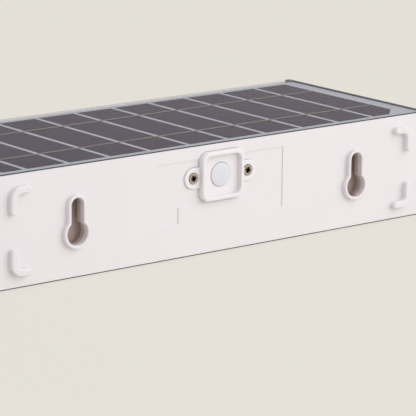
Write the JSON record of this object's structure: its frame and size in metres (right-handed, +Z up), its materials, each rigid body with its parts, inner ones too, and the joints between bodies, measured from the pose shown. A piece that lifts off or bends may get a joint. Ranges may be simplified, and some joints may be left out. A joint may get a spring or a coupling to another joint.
{
  "type": "solar fence light",
  "caption": "Slim rectangular solar fence light: solar panel on top, white rear cover with two keyholes and a raised push button, frosted lens along the front.",
  "frame": {"origin": "middle of the underside: bottom centre of the bounding box", "axes": "+X along the light's length, +Y out of the rear cover towards the fence, +Z up, out of the solar panel"},
  "size_m": [0.1788, 0.075, 0.0359],
  "materials": {
    "housing_abs": "dark grey moulded ABS, satin",
    "cover_abs": "white moulded ABS, fine matt grain",
    "panel_backing": "pale glass-fibre laminate",
    "silicon": "monocrystalline silicon under clear film",
    "ribbon": "tinned copper ribbon",
    "clear_film": "clear PET laminate",
    "lens_pc": "frosted polycarbonate",
    "button_silicone": "translucent moulded silicone",
    "seal_silicone": "silicone",
    "tape": "acrylic foam tape",
    "reflector_white": "white moulded, glossy",
    "led_board_white": "aluminium board, white mask",
    "led_phosphor": "phosphor in clear resin",
    "steel_zinc": "zinc-plated steel",
    "steel_nickel": "nickel-plated steel, a little tarnished",
    "circuit_board": "glass-fibre board, green mask",
    "black_component": "black moulded epoxy",
    "capacitor_sleeve": "shrink sleeve on aluminium can",
    "chip_parts": "fired ceramic with tinned ends",
    "connector_nylon": "natural nylon",
    "cell_wrap": "blue shrink wrap on a steel can",
    "clamp_abs": "white moulded ABS",
    "wire_pvc": "PVC-insulated stranded wire"
  },
  "bodies": {
    "housing": {"body_shell": "housing_abs", "rear_cover": "cover_abs", "rear_seal": "seal_silicone", "panel_board": "panel_backing", "panel_tape": "tape", "solar_cells": "silicon", "busbar_ribbons": "ribbon", "panel_film": "clear_film", "front_lens": "lens_pc", "lens_seal": "seal_silicone", "reflector": "reflector_white", "led_board": "led_board_white", "led_chips": "led_phosphor", "led_screws": "steel_zinc", "button_bezel": "cover_abs", "bezel_screws": "steel_nickel", "button_seal": "seal_silicone", "main_board": "circuit_board", "board_screws": "steel_zinc", "switch_body": "black_component", "charge_chip": "black_component", "inductor": "black_component", "capacitor": "capacitor_sleeve", "board_parts": "chip_parts", "board_sockets": "connector_nylon", "lead_plugs": "connector_nylon", "battery_cell": "cell_wrap", "cell_guard_board": "circuit_board", "battery_clamp": "clamp_abs", "clamp_screws": "steel_zinc", "battery_leads": "wire_pvc", "panel_leads": "wire_pvc", "led_leads": "wire_pvc"},
    "button": {"push_button": "button_silicone", "switch_plunger": "black_component"}
  },
  "joints": [
    {"name": "button_press", "type": "slide", "parent": "housing", "child": "button", "axis": [0, -1, 0], "range_m": [0, 0.0005], "stiffness_N_per_m": 3000}
  ]
}
